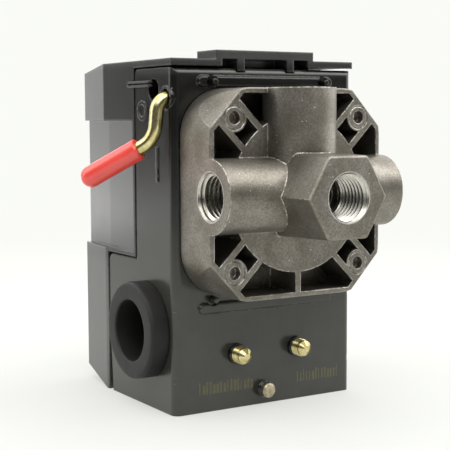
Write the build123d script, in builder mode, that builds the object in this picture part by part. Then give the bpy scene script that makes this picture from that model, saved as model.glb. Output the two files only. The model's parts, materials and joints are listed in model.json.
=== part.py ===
from build123d import *
import os
from math import cos, radians, sin, tan

# Pressure switch for a compressor or pump, standing on the short end of its base plate.
# X runs along the base plate's width, Y from the front wall back into the case, Z up.
# The origin is the middle of the front wall's lower edge. Sizes are in millimetres.

# ---------------------------------------------------------------- driving dimensions
WIDTH, HEIGHT, SHEET = 63.0, 99.6, 1.5          # folded steel base plate
HALF = WIDTH / 2
CORNER_R = 2.2                                  # outside radius of its two long bends
WALL_LOW, WALL_HIGH, WALL_STEP = 41.0, 22.5, 43.4   # side wall depths, and where they change
FLANGE_LOW, FLANGE_TOP = 39.0, 10.0             # depths of the end flanges

MID = 63.95                                     # height of the port block's centre
BLOCK_X, BLOCK_Z = 29.35, 29.75                 # half sizes of the port block
CHAMFER_X, CHAMFER_Z = 10.65, 11.3              # its corner cuts at the rim
REAR_CUT, REAR_R = 0.6, 13.8                    # at the back the cuts shrink, and the corners are round
BLOCK_BACK, BLOCK_RIM = -0.5, -16.4            # rear face and rim plane of the port block
PORT_R, PORT_DEPTH, PORT_Y = 6.75, 12.4, -16.8  # port bores and the axis of the side ports
BOSS_R = 10.4
INLET_FACE, INLET_DEPTH, INLET_FLATS = -39.8, 13.6, 22.4
INLET_DRAFT = 1.8                               # degrees, the hexagon widens towards the block
DISC_R = 22.5
SCREW_OFFSET = 21.35                            # port block screws from its centre
SCREW_BOSS_R, SCREW_MARK_R, DIMPLE_R = 4.0, 3.45, 1.8
RIM, RIB, FLOOR = 1.5, 1.8, 3.0                 # thickness of the block's rim, ribs and floor
RIB_STEP = 3.95                                 # ribs on either side of each screw boss

RIVET_X, RIVET_TOP, RIVET_LOW = (-18.9, 20.1), 95.6, 33.1
BEAD_TOP, BEAD_LOW, BEAD_LONG, BEAD_HIGH = 95.7, 30.5, 47.5, 3.4

GROMMET_Y, GROMMET_Z, GROMMET_HOLE = 16.9, 23.1, 11.1
GROMMET_R, GROMMET_BORE, GROMMET_OUT = 14.35, 9.05, 5.8

COVER_X, COVER_TOP, COVER_T = 31.7, 102.1, 2.0  # outer half width, outer height, wall
COVER_CREASE, COVER_BACK = 43.5, 63.0           # where the sides start to slope, and the back
SLOPE_X, SLOPE_LOW, SLOPE_TOP = 2.3, 4.7, 2.6    # how far the sides and ends slope inwards
GRIP_LOW, GRIP_HIGH, GRIP_DEEP, GRIP_START = 45.0, 84.6, 1.9, 24.0
LEDGE_DEEP, LEDGE_TOP = 12.0, 104.7             # the low block over the cover's hooks
POST_X, POST_W = 8.65, 2.5                      # the cover's two hook posts

SELECTOR_Y, SELECTOR_Z = 3.7, 91.0              # axis of the selector rod
ROD_R, SHAFT_R, SLEEVE_R = 2.0, 1.2, 3.15       # rod outside, its thinner inner end, and sleeve
ROD_LONG, ROD_X = (-28.1, -34.1), -35.0         # where the rod starts and bends, and its lower bend
PIN_HOLE_Y, PIN_HOLE_Z, PIN_HOLE_R = 11.0, 93.4, 3.1
CLIP_R, CLIP_Z = 0.42, 95.2                     # wire clip beside the selector
SELECTOR_TURN = 65.0                            # degrees from on to off
CRANK_REST, CRANK_LONG = -15.0, 4.5             # crank angle above +Y at rest, and length
PIN_R = 1.2

PIVOT_Y, PIVOT_Z, PIVOT_R = 16.0, 88.0, 2.0     # main lever pivot
LEVER_Y, LEVER_T, LEVER_X = 13.0, 1.6, 13.9     # lever plate: front face, sheet, half width
LEVER_END = 33.6
EAR_X, EAR_T = 16.5, 1.6                        # mechanism frame: outer half width, sheet
RANGE_Z, RANGE_R = 51.05, 3.0                   # range stud
DIFF_Z, DIFF_R = 38.3, 2.0                      # differential stud
RANGE_SEAT, DIFF_SEAT = 40.0, 30.0              # heights of the upper spring seats

STRIP_LONG = (9.2, 24.0)                        # contact strips, along Z
TERMINAL_HALF = 23.5
TERMINAL_X = (-16.9, -5.0, 5.0, 16.9)
TERMINAL_Z, CONTACT_Z = 11.8, 21.7
TERMINAL_TOP = 12.5
FIXING_X, FIXING_Z, FIXING_R = (-10.6, 10.6), 16.2, 2.35
CARRIER_Y, CARRIER_Z, CARRIER_PIN = 20.0, 33.0, 1.5
GROUND_X, GROUND_Z, GROUND_R = -1.05, 4.5, 2.2

LINK_X, LINK_T = -26.3, 1.2                     # trip link strip: outer face and sheet
RUNNING = 0.05                                  # radial clearance of pins and shafts

os.makedirs("parts", exist_ok=True)


# ---------------------------------------------------------------- helpers
def facing(y):
    """Plane parallel to the front wall at depth y: local x is X, local y is Z, and it faces -Y."""
    return Plane.XZ.offset(-y)


def bar_y(x, z, radius, y_from, y_to, mode=Mode.ADD):
    """A round bar along Y between two depths, added to or cut from the part being built."""
    with BuildSketch(facing(y_to)) as section:
        with Locations((x, z)):
            Circle(radius)
    extrude(section.sketch, amount=y_to - y_from, mode=mode)


def bar_x(y, z, radius, x_from, x_to, mode=Mode.ADD):
    """A round bar along X."""
    with BuildSketch(Plane.YZ.offset(x_from)) as section:
        with Locations((y, z)):
            Circle(radius)
    extrude(section.sketch, amount=x_to - x_from, mode=mode)


def bar_z(x, y, radius, z_from, z_to, mode=Mode.ADD):
    """A round bar along Z."""
    with BuildSketch(Plane.XY.offset(z_from)) as section:
        with Locations((x, y)):
            Circle(radius)
    extrude(section.sketch, amount=z_to - z_from, mode=mode)


def block(x, y, z, mode=Mode.ADD):
    """A box given by its limits along each axis."""
    with BuildSketch(Plane.XY.offset(z[0])) as section:
        with Locations(((x[0] + x[1]) / 2, (y[0] + y[1]) / 2)):
            Rectangle(x[1] - x[0], y[1] - y[0])
    extrude(section.sketch, amount=z[1] - z[0], mode=mode)


def plate_y(outline, y_from, y_to, mode=Mode.ADD):
    """A flat plate in XZ between two depths, from its outline's corners."""
    with BuildSketch(facing(y_to)) as section:
        with BuildLine():
            Polyline(*outline, close=True)
        make_face()
    extrude(section.sketch, amount=y_to - y_from, mode=mode)


def plate_x(outline, x_from, x_to, mode=Mode.ADD):
    """A flat plate in YZ between two widths, from its outline's corners."""
    with BuildSketch(Plane.YZ.offset(x_from)) as section:
        with BuildLine():
            Polyline(*outline, close=True)
        make_face()
    extrude(section.sketch, amount=x_to - x_from, mode=mode)


def plate_z(outline, z_from, z_to, mode=Mode.ADD):
    """A flat plate in XY between two heights, from its outline's corners."""
    with BuildSketch(Plane.XY.offset(z_from)) as section:
        with BuildLine():
            Polyline(*outline, close=True)
        make_face()
    extrude(section.sketch, amount=z_to - z_from, mode=mode)


def hexagon_y(x, z, flats, y_from, y_to, mode=Mode.ADD):
    """A hexagonal bar along Y with two flats level, from its width across flats."""
    with BuildSketch(facing(y_to)) as section:
        with Locations((x, z)):
            RegularPolygon(flats / 2, 6, major_radius=False)
    extrude(section.sketch, amount=y_to - y_from, mode=mode)


def coil_y(x, z, mean_radius, wire_radius, y_from, y_to, turns):
    """A coil spring along Y, its wire's ends cut off level by the space it fills."""
    length = y_to - y_from - 2 * wire_radius
    wire_path = Helix(length / turns, length, mean_radius, center=(0, 0, 0), direction=(0, 0, 1))
    start = Plane(origin=wire_path @ 0, z_dir=wire_path % 0)
    wire = sweep(start * Circle(wire_radius), path=Wire(wire_path.edges()), mode=Mode.PRIVATE)
    return Plane(origin=(x, y_from + wire_radius, z), x_dir=(1, 0, 0), z_dir=(0, 1, 0)) * wire


def save(builder, name):
    """Labels a finished piece and writes its STEP file."""
    builder.part.label = name
    export_step(builder.part, f"parts/{name}.step")


port_screws = [(sx * SCREW_OFFSET, MID + sz * SCREW_OFFSET) for sx in (-1, 1) for sz in (-1, 1)]
rivet_places = [(x, z) for x in RIVET_X for z in (RIVET_TOP, RIVET_LOW)]

# ---------------------------------------------------------------- base plate
with BuildPart() as base_plate:
    # The front wall and two side walls, folded from one sheet
    with BuildSketch(Plane.XY) as fold:
        with Locations((0, WALL_LOW / 2)):
            Rectangle(WIDTH, WALL_LOW)
        fillet(fold.vertices().group_by(Axis.Y)[0], CORNER_R)
        with BuildSketch(Plane.XY, mode=Mode.SUBTRACT) as inside:
            with Locations((0, SHEET + WALL_LOW / 2)):
                Rectangle(WIDTH - 2 * SHEET, WALL_LOW)
            fillet(inside.vertices().group_by(Axis.Y)[0], CORNER_R - SHEET)
    extrude(amount=HEIGHT)
    # Flanges close the lower end and stiffen the upper end
    block((-HALF + SHEET, HALF - SHEET), (0.5, FLANGE_LOW), (0, SHEET))
    block((-HALF + SHEET, HALF - SHEET), (0.5, FLANGE_TOP), (HEIGHT - SHEET, HEIGHT))
    # The side outline: deep walls round the wiring space, shallow ones above
    with BuildSketch(Plane.YZ.offset(-HALF - 1)) as side:
        with BuildLine():
            Polyline(
                (0, 0), (WALL_LOW - 1.5, 0), (WALL_LOW, 17), (WALL_LOW, WALL_STEP),
                (WALL_HIGH, WALL_STEP), (WALL_HIGH, HEIGHT), (0, HEIGHT), close=True,
            )
        make_face()
        step = side.vertices().filter_by_position(Axis.Y, WALL_STEP - 1, WALL_STEP + 1)
        fillet(step.sort_by(Axis.X)[-1:], 2.5)
        fillet(side.vertices().sort_by(Axis.Y)[-2:], 2.0)
    extrude(amount=WIDTH + 2, mode=Mode.INTERSECT)
    # Two stiffening beads pressed outwards across the front wall
    for bead_z in (BEAD_TOP, BEAD_LOW):
        with BuildSketch(facing(0)) as ridge:
            with Locations((0, bead_z)):
                SlotOverall(BEAD_LONG, BEAD_HIGH)
        extrude(ridge.sketch, amount=1.0, taper=22)
        with BuildSketch(facing(SHEET)) as groove:
            with Locations((0, bead_z)):
                SlotOverall(BEAD_LONG - 2.4, BEAD_HIGH - 2.4)
        extrude(groove.sketch, amount=1.2, mode=Mode.SUBTRACT)
    fillet(base_plate.faces().group_by(Axis.Y)[0].edges(), 0.6)
    # Round seats in the beads let the frame's rivets stand on the flat wall
    for x, z in rivet_places:
        bar_y(x, z, 1.9, -1.2, 0, Mode.SUBTRACT)
        bar_y(x, z, 1.0, -0.5, SHEET + 0.5, Mode.SUBTRACT)
    # A raised collar and hole for the selector rod, through the left corner bend
    bar_x(SELECTOR_Y, SELECTOR_Z, 3.4, -HALF - 0.3, -HALF + SHEET)
    bar_x(SELECTOR_Y, SELECTOR_Z, 2.65, -HALF - 1, -HALF + SHEET + 2, Mode.SUBTRACT)
    bar_x(PIN_HOLE_Y, PIN_HOLE_Z, PIN_HOLE_R, -HALF - 1, -HALF + SHEET + 1, Mode.SUBTRACT)
    # Cable holes low in both side walls
    bar_x(GROMMET_Y, GROMMET_Z, GROMMET_HOLE, -HALF - 1, HALF + 1, Mode.SUBTRACT)
    # Front wall holes: plunger, port block screws, terminal block screws and earth screw
    bar_y(0, MID, 9.5, -1, SHEET + 1, Mode.SUBTRACT)
    for x, z in port_screws:
        bar_y(x, z, 2.15, -1, SHEET + 1, Mode.SUBTRACT)
    for x in FIXING_X:
        bar_y(x, FIXING_Z, FIXING_R + 0.05, -1, SHEET + 1, Mode.SUBTRACT)
    bar_y(GROUND_X, GROUND_Z, GROUND_R + 0.05, -1, SHEET + 1, Mode.SUBTRACT)
    # Darts pressed into the corner bends stiffen the fold
    for side_sign in (-1, 1):
        for dart_z in (10.3, 31.0):
            corner = Plane(
                origin=(side_sign * HALF, 0, dart_z), x_dir=(side_sign, 1, 0), z_dir=(0, 0, 1)
            )
            with BuildSketch(corner) as dart:
                Rectangle(2.9, 2.0)
            extrude(dart.sketch, amount=0.9, both=True, mode=Mode.SUBTRACT)
    # Slots in the upper flange for the cover's hook posts
    for x in (-POST_X, POST_X):
        block((x - 1.6, x + 1.6), (-0.5, FLANGE_TOP + 1), (98.4, HEIGHT + 1), Mode.SUBTRACT)
    # Plain raised marks beside the selector: a bar for on and a ring for off
    block((-HALF - 0.3, -HALF + 0.2), (8.4, 9.6), (67, 77))
    bar_x(18.0, 87.5, 2.9, -HALF - 0.3, -HALF + 0.2)
    bar_x(18.0, 87.5, 1.8, -HALF - 0.3, -HALF, Mode.SUBTRACT)
save(base_plate, "base_plate")

# ---------------------------------------------------------------- cover
def cover_shell(inset, front, back, mode):
    """The cover's outer or inner form: straight sides, then sloping to the back."""
    slope = (back - COVER_CREASE) / (COVER_BACK - COVER_CREASE)
    half_x, low, high = COVER_X - inset, inset, COVER_TOP - inset
    block((-half_x, half_x), (front, COVER_CREASE), (low, high), mode)
    with BuildSketch(facing(COVER_CREASE)) as wide:
        with Locations((0, COVER_TOP / 2)):
            Rectangle(2 * half_x, high - low)
    end_low, end_high = low + SLOPE_LOW * slope, high - SLOPE_TOP * slope
    with BuildSketch(facing(back)) as narrow:
        with Locations((0, (end_low + end_high) / 2)):
            Rectangle(2 * (half_x - SLOPE_X * slope), end_high - end_low)
    loft([wide.sketch.faces()[0], narrow.sketch.faces()[0]], mode=mode)


with BuildPart() as cover:
    cover_shell(0, WALL_HIGH + 0.4, COVER_BACK, Mode.ADD)
    # Soften the outer form before it is hollowed
    fillet(cover.faces().sort_by(Axis.Y)[-1].edges(), 1.6)
    # The upper end wall runs forward over the base plate's flange
    block((-COVER_X, COVER_X), (0, COVER_CREASE - 1), (COVER_TOP - COVER_T, COVER_TOP))
    cover_shell(COVER_T, WALL_HIGH, COVER_BACK - COVER_T, Mode.SUBTRACT)
    # The sides stop short of the base plate's deep lower walls
    lower_edge = [(-1, -1), (WALL_LOW + 1.0, -1), (WALL_LOW + 0.6, 17), (WALL_LOW + 0.6, 44.0), (-1, 44.0)]
    plate_x(lower_edge, -COVER_X - 1, COVER_X + 1, Mode.SUBTRACT)
    # Finger grips: the middle of each side is pressed in, deeper towards the back
    for s in (-1, 1):
        liner = [
            (s * (COVER_X - 0.5), GRIP_START), (s * (COVER_X - 1.0), COVER_CREASE),
            (s * (COVER_X - 1.0 - SLOPE_X), COVER_BACK - 1),
            (s * (COVER_X - COVER_T - GRIP_DEEP - SLOPE_X), COVER_BACK - 1),
            (s * (COVER_X - COVER_T - GRIP_DEEP), COVER_CREASE), (s * (COVER_X - COVER_T), GRIP_START),
        ]
        plate_z(liner, GRIP_LOW - 1.5, GRIP_HIGH + 1.5)
        scoop = [
            (s * COVER_X, GRIP_START), (s * (COVER_X - GRIP_DEEP), COVER_CREASE),
            (s * (COVER_X - GRIP_DEEP - SLOPE_X * 1.2), COVER_BACK + 3.9),
            (s * (COVER_X + 2), COVER_BACK + 3.9), (s * (COVER_X + 2), GRIP_START),
        ]
        plate_z(scoop, GRIP_LOW, GRIP_HIGH, Mode.SUBTRACT)
    # A low block over the hooks, with three windows under it
    with BuildSketch(Plane.XY.offset(COVER_TOP - 0.5)) as ledge:
        with Locations((0, LEDGE_DEEP / 2)):
            Rectangle(34, LEDGE_DEEP)
        fillet(ledge.vertices().group_by(Axis.Y)[-1], 1.5)
    extrude(ledge.sketch, amount=LEDGE_TOP - COVER_TOP + 0.5)
    for window in ((-15.0, -9.9), (-7.4, 7.4), (9.9, 15.0)):
        block(window, (-1, 6.5), (COVER_TOP - COVER_T - 1, COVER_TOP + 0.1), Mode.SUBTRACT)
    for x in (-POST_X, POST_X):
        block((x - POST_W / 2, x + POST_W / 2), (0, 6.5), (98.7, COVER_TOP - 0.5))
    # A boss for the cover screw, sunk from outside
    bar_y(0, RANGE_Z, 6.5, 56.5, COVER_BACK - 1)
    bar_y(0, RANGE_Z, 4.8, 59.9, COVER_BACK + 1, Mode.SUBTRACT)
    bar_y(0, RANGE_Z, 2.2, 56, COVER_BACK, Mode.SUBTRACT)
    # A shallow plain panel on the back
    block((-19, 19), (COVER_BACK - 0.5, COVER_BACK + 1), (14, 40), Mode.SUBTRACT)
save(cover, "cover")

with BuildPart() as cover_screw:
    bar_y(0, RANGE_Z, 4.2, 59.95, 62.4)
    fillet(cover_screw.edges().sort_by(Axis.Y)[-1:], 1.2)
    bar_y(0, RANGE_Z, 1.9, 48.5, 60)
    block((-0.6, 0.6), (61.2, 63), (RANGE_Z - 3.0, RANGE_Z + 3.0), Mode.SUBTRACT)
    block((-3.0, 3.0), (61.2, 63), (RANGE_Z - 0.6, RANGE_Z + 0.6), Mode.SUBTRACT)
save(cover_screw, "cover_screw")

# ---------------------------------------------------------------- port block
POCKET_FLOOR = BLOCK_BACK - FLOOR


def cut_corners(share):
    """The block's outline with this share of its full corner cuts."""
    x_in, z_in = BLOCK_X - CHAMFER_X * share, BLOCK_Z - CHAMFER_Z * share
    return [
        (-x_in, MID - BLOCK_Z), (x_in, MID - BLOCK_Z), (BLOCK_X, MID - z_in), (BLOCK_X, MID + z_in),
        (x_in, MID + BLOCK_Z), (-x_in, MID + BLOCK_Z), (-BLOCK_X, MID + z_in), (-BLOCK_X, MID - z_in),
    ]


with BuildPart() as manifold:
    # Straight corner cuts at the rim run out into round corners at the back
    with BuildSketch(facing(BLOCK_BACK)) as rounded:
        with Locations((0, MID)):
            RectangleRounded(2 * BLOCK_X, 2 * BLOCK_Z, REAR_R)
    extrude(rounded.sketch, amount=BLOCK_BACK - BLOCK_RIM)
    with BuildSketch(facing(BLOCK_BACK)) as rear_cut:
        with BuildLine():
            Polyline(*cut_corners(REAR_CUT), close=True)
        make_face()
    with BuildSketch(facing(BLOCK_RIM)) as rim_cut:
        with BuildLine():
            Polyline(*cut_corners(1), close=True)
        make_face()
    loft([rear_cut.sketch.faces()[0], rim_cut.sketch.faces()[0]], mode=Mode.INTERSECT)
    fillet(manifold.faces().sort_by(Axis.Y)[0].edges(), 0.5)
    # Cast pockets inside the rim, leaving the disc, the screw bosses and the ribs
    with BuildSketch(facing(BLOCK_RIM)) as pockets:
        with BuildLine():
            Polyline(*cut_corners(1), close=True)
        make_face()
        offset(amount=-RIM, mode=Mode.REPLACE)
        with Locations((0, MID)):
            Circle(DISC_R, mode=Mode.SUBTRACT)
            with PolarLocations(SCREW_OFFSET * 2**0.5, 4, start_angle=45):
                Circle(SCREW_BOSS_R, mode=Mode.SUBTRACT)
                with Locations((5, 0)):
                    Rectangle(10, 2 * RIB_STEP, mode=Mode.SUBTRACT)
                with Locations((0.5, RIB_STEP), (0.5, -RIB_STEP)):
                    Rectangle(19, RIB, mode=Mode.SUBTRACT)
        with Locations((0, MID - 25)):
            Rectangle(RIB, 12, mode=Mode.SUBTRACT)
    extrude(pockets.sketch, amount=BLOCK_RIM - POCKET_FLOOR, mode=Mode.SUBTRACT)
    # Round bosses for the side and top ports, and the hexagonal inlet boss
    bar_x(PORT_Y, MID, BOSS_R, -BLOCK_X, BLOCK_X)
    bar_z(0, PORT_Y, BOSS_R, MID, MID + BLOCK_Z)
    inlet_long = BLOCK_RIM + 3 - INLET_FACE
    with BuildSketch(facing(BLOCK_RIM + 3)) as hexagon:
        with Locations((0, MID)):
            RegularPolygon(INLET_FLATS / 2 + inlet_long * tan(radians(INLET_DRAFT)), 6, major_radius=False)
    extrude(hexagon.sketch, amount=inlet_long, taper=INLET_DRAFT)
    inlet_edges = manifold.edges().filter_by(
        lambda edge: edge.length > 15 and edge.center().Y < BLOCK_RIM - 5
        and abs(edge.tangent_at(0.5).Y) > 0.9
    )
    fillet(inlet_edges, 1.5)
    fillet(manifold.faces().sort_by(Axis.Y)[0].edges(), 0.8)
    # Threaded ports and the passages that join them behind the diaphragm
    bar_y(0, MID, PORT_R, INLET_FACE - 1, INLET_FACE + INLET_DEPTH, Mode.SUBTRACT)
    bar_y(0, MID, 4.5, INLET_FACE, BLOCK_BACK, Mode.SUBTRACT)
    for x_face, x_end in ((-BLOCK_X - 1, PORT_DEPTH - BLOCK_X), (BLOCK_X - PORT_DEPTH, BLOCK_X + 1)):
        bar_x(PORT_Y, MID, PORT_R, x_face, x_end, Mode.SUBTRACT)
    bar_x(PORT_Y, MID, 4.0, -BLOCK_X + 2, BLOCK_X - 2, Mode.SUBTRACT)
    bar_z(0, PORT_Y, PORT_R, MID + BLOCK_Z - PORT_DEPTH, MID + BLOCK_Z + 1, Mode.SUBTRACT)
    bar_z(0, PORT_Y, 4.0, MID, MID + BLOCK_Z - 2, Mode.SUBTRACT)
    # Pressure chamber and the diaphragm's seat in the rear face
    bar_y(0, MID, 14.0, BLOCK_BACK - 2.5, BLOCK_BACK, Mode.SUBTRACT)
    bar_y(0, MID, 20.0, BLOCK_BACK - 0.8, BLOCK_BACK, Mode.SUBTRACT)
    # Screw holes from the back; in front, each boss has a dimple inside a shallow ring
    for x, z in port_screws:
        bar_y(x, z, 2.05, -12.5, BLOCK_BACK, Mode.SUBTRACT)
        bar_y(x, z, DIMPLE_R, BLOCK_RIM - 1, BLOCK_RIM + 2.4, Mode.SUBTRACT)
        with BuildSketch(facing(BLOCK_RIM + 0.25)) as ring:
            with Locations((x, z)):
                Circle(SCREW_MARK_R)
                Circle(SCREW_MARK_R - 0.4, mode=Mode.SUBTRACT)
        extrude(ring.sketch, amount=1, mode=Mode.SUBTRACT)
save(manifold, "manifold")

with BuildPart() as diaphragm:
    bar_y(0, MID, 19.9, BLOCK_BACK - 0.8, BLOCK_BACK)
save(diaphragm, "diaphragm")

with BuildPart() as gasket_plate:
    with BuildSketch(facing(0)) as sheet:
        with Locations((0, MID)):
            RectangleRounded(2 * BLOCK_X - 0.4, 2 * BLOCK_Z - 0.4, 14.0)
            Circle(9.5, mode=Mode.SUBTRACT)
            with GridLocations(2 * SCREW_OFFSET, 2 * SCREW_OFFSET, 2, 2):
                Circle(2.15, mode=Mode.SUBTRACT)
    extrude(amount=-BLOCK_BACK)
save(gasket_plate, "gasket_plate")

with BuildPart() as manifold_screws:
    for x, z in port_screws:
        bar_y(x, z, 2.0, -11.5, SHEET + 1)
        bar_y(x, z, 3.1, SHEET, SHEET + 2.6)
        bar_y(x, z, 1.2, SHEET + 1.2, SHEET + 3, Mode.SUBTRACT)
save(manifold_screws, "manifold_screws")

PISTON_TOP = LEVER_Y - 0.3
with BuildPart() as piston:
    bar_y(0, MID, 8.0, BLOCK_BACK, 1.0)
    bar_y(0, MID, 4.0, 0, PISTON_TOP)
    fillet(piston.edges().sort_by(Axis.Y)[-1:], 1.5)
save(piston, "piston")

# ---------------------------------------------------------------- mechanism frame
FRAME_Y = SHEET + 1.5
with BuildPart() as mechanism_frame:
    # Web against the front wall, open round the plunger, with four riveted feet
    block((-EAR_X, EAR_X), (SHEET, FRAME_Y), (30, 97.6))
    block((-21.8, 21.8), (SHEET, FRAME_Y), (30, 34.6))
    block((-23.4, 21.8), (SHEET, FRAME_Y), (93.4, 97.6))
    bar_y(0, MID, 10.5, SHEET - 1, FRAME_Y + 1, Mode.SUBTRACT)
    # Two ears carry the lever's pivot pin
    ear = [(SHEET, 30), (7, 30), (8, 76), (20.5, 83), (20.5, 92), (17, 95.5), (7, 97.6), (SHEET, 97.6)]
    for x in (-EAR_X, EAR_X - EAR_T):
        plate_x(ear, x, x + EAR_T)
    bar_x(PIVOT_Y, PIVOT_Z, PIVOT_R, -EAR_X - 1, EAR_X + 1, Mode.SUBTRACT)
    # A lug steadies the inner end of the selector rod
    block((-23.4, -22.0), (SHEET, 7.5), (89.0, 97.6))
    bar_x(SELECTOR_Y, SELECTOR_Z, SHAFT_R + RUNNING, -24, -21, Mode.SUBTRACT)
    bar_y(0, RANGE_Z, RANGE_R, SHEET - 1, FRAME_Y + 1, Mode.SUBTRACT)
    bar_y(0, DIFF_Z, DIFF_R, SHEET - 1, FRAME_Y + 1, Mode.SUBTRACT)
    for x, z in rivet_places:
        bar_y(x, z, 0.95, SHEET - 1, FRAME_Y + 1, Mode.SUBTRACT)
save(mechanism_frame, "mechanism_frame")

with BuildPart() as frame_rivets:
    for x, z in rivet_places:
        bar_y(x, z, 0.95, -2.9, FRAME_Y)
    fillet(frame_rivets.edges().group_by(Axis.Y)[0], 0.45)
save(frame_rivets, "frame_rivets")

with BuildPart() as lever_pivot_pin:
    bar_x(PIVOT_Y, PIVOT_Z, PIVOT_R, -EAR_X - 1.5, EAR_X + 1.5)
    chamfer(lever_pivot_pin.edges().filter_by(GeomType.CIRCLE), 0.4)
save(lever_pivot_pin, "lever_pivot_pin")

# ---------------------------------------------------------------- main lever
NOSE_X = (-2.15, 2.15)
with BuildPart() as main_lever:
    block((-LEVER_X, LEVER_X), (LEVER_Y, LEVER_Y + LEVER_T), (LEVER_END, PIVOT_Z + 5))
    # Side flanges, deepest at the pivot
    flange = [
        (LEVER_Y, LEVER_END), (LEVER_Y + 4, LEVER_END), (LEVER_Y + 4.5, 78), (PIVOT_Y + 4, 84),
        (PIVOT_Y + 4, 91), (PIVOT_Y + 2, 93), (LEVER_Y, 93),
    ]
    for x in (-LEVER_X, LEVER_X - LEVER_T):
        plate_x(flange, x, x + LEVER_T)
    bar_x(PIVOT_Y, PIVOT_Z, PIVOT_R + RUNNING, -LEVER_X - 1, LEVER_X + 1, Mode.SUBTRACT)
    bar_y(0, RANGE_Z, 4.5, LEVER_Y - 1, LEVER_Y + 3, Mode.SUBTRACT)
    bar_y(0, DIFF_Z, 2.8, LEVER_Y - 1, LEVER_Y + 3, Mode.SUBTRACT)
    # A nose below the plate lifts the contact carrier
    block(NOSE_X, (LEVER_Y, LEVER_Y + LEVER_T), (20.6, LEVER_END + 1))
    block(NOSE_X, (LEVER_Y, 16.4), (20.6, 22.0))
save(main_lever, "main_lever")

with BuildPart() as lower_spring_seat:
    bar_y(0, RANGE_Z, 8.5, LEVER_Y + LEVER_T, LEVER_Y + LEVER_T + 1.1)
    bar_y(0, RANGE_Z, 4.5, LEVER_Y, 20, Mode.SUBTRACT)
save(lower_spring_seat, "lower_spring_seat")

# ---------------------------------------------------------------- range adjuster
with BuildPart() as range_stud:
    bar_y(0, RANGE_Z, RANGE_R, SHEET, 56.0)
    bar_y(0, RANGE_Z, 4.6, FRAME_Y, FRAME_Y + 2)
    bar_y(0, RANGE_Z, 1.95, 47.0, 57, Mode.SUBTRACT)
save(range_stud, "range_stud")

with BuildPart() as range_seat:
    bar_y(0, RANGE_Z, 8.5, RANGE_SEAT, RANGE_SEAT + 1.6)
    bar_y(0, RANGE_Z, RANGE_R + RUNNING, RANGE_SEAT - 1, RANGE_SEAT + 3, Mode.SUBTRACT)
save(range_seat, "range_seat")

with BuildPart() as range_nut:
    hexagon_y(0, RANGE_Z, 10.0, RANGE_SEAT + 1.65, RANGE_SEAT + 6.7)
    bar_y(0, RANGE_Z, RANGE_R + RUNNING, RANGE_SEAT, RANGE_SEAT + 8, Mode.SUBTRACT)
save(range_nut, "range_nut")

range_spring = coil_y(0, RANGE_Z, 7.2, 1.1, LEVER_Y + LEVER_T + 1.1, RANGE_SEAT, 5.5)
range_spring.label = "range_spring"
export_step(range_spring, "parts/range_spring.step")

# ---------------------------------------------------------------- differential adjuster
with BuildPart() as differential_stud:
    bar_y(0, DIFF_Z, DIFF_R, SHEET, 40.0)
    bar_y(0, DIFF_Z, 3.4, FRAME_Y, FRAME_Y + 1.6)
save(differential_stud, "differential_stud")

with BuildPart() as differential_seat:
    bar_y(0, DIFF_Z, 4.1, DIFF_SEAT, DIFF_SEAT + 1)
    bar_y(0, DIFF_Z, DIFF_R + RUNNING, DIFF_SEAT - 1, DIFF_SEAT + 2, Mode.SUBTRACT)
save(differential_seat, "differential_seat")

with BuildPart() as differential_nut:
    hexagon_y(0, DIFF_Z, 7.0, DIFF_SEAT + 1.05, DIFF_SEAT + 4.3)
    bar_y(0, DIFF_Z, DIFF_R + RUNNING, DIFF_SEAT, DIFF_SEAT + 5, Mode.SUBTRACT)
save(differential_nut, "differential_nut")

differential_spring = coil_y(0, DIFF_Z, 3.3, 0.5, LEVER_Y + LEVER_T, DIFF_SEAT, 8)
differential_spring.label = "differential_spring"
export_step(differential_spring, "parts/differential_spring.step")

# ---------------------------------------------------------------- terminal block
BLOCK_LEFT, BLOCK_RIGHT = -TERMINAL_HALF, TERMINAL_HALF
EAR_WALL = 2.0
with BuildPart() as terminal_block:
    block((BLOCK_LEFT, BLOCK_RIGHT), (SHEET, TERMINAL_TOP), (8, 27))
    # Ears carry the contact carrier's trunnions
    for x in (BLOCK_LEFT, BLOCK_RIGHT - EAR_WALL):
        block((x, x + EAR_WALL), (FRAME_Y + 0.5, 23.5), (25, 37))
        bar_x(CARRIER_Y, CARRIER_Z, CARRIER_PIN + RUNNING, x - 1, x + EAR_WALL + 1, Mode.SUBTRACT)
    # Barriers between the terminals
    for x in (-22.3, -10.95, 0, 10.95, 22.3):
        block((x - 0.8, x + 0.8), (TERMINAL_TOP - 1, 17.5), (8, 11.6))
    for x in TERMINAL_X:
        bar_y(x, TERMINAL_Z, 1.55, 4.5, TERMINAL_TOP + 1, Mode.SUBTRACT)
    for x in FIXING_X:
        bar_y(x, FIXING_Z, 3.5, 5.0, TERMINAL_TOP + 1, Mode.SUBTRACT)
        bar_y(x, FIXING_Z, FIXING_R + 0.05, 0, 6, Mode.SUBTRACT)
save(terminal_block, "terminal_block")

with BuildPart() as contact_strips:
    for x in TERMINAL_X:
        block((x - 2.5, x + 2.5), (TERMINAL_TOP, TERMINAL_TOP + 0.9), STRIP_LONG)
        bar_y(x, CONTACT_Z, 2.0, TERMINAL_TOP + 0.5, 14.9)
        bar_y(x, TERMINAL_Z, 1.6, TERMINAL_TOP - 1, TERMINAL_TOP + 2, Mode.SUBTRACT)
save(contact_strips, "contact_strips")

with BuildPart() as wire_clamps:
    for x in TERMINAL_X:
        block((x - 3.3, x + 3.3), (TERMINAL_TOP + 0.9, TERMINAL_TOP + 1.9), (8.6, 15.0))
        bar_y(x, TERMINAL_Z, 1.6, TERMINAL_TOP, TERMINAL_TOP + 3, Mode.SUBTRACT)
save(wire_clamps, "wire_clamps")

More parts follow.
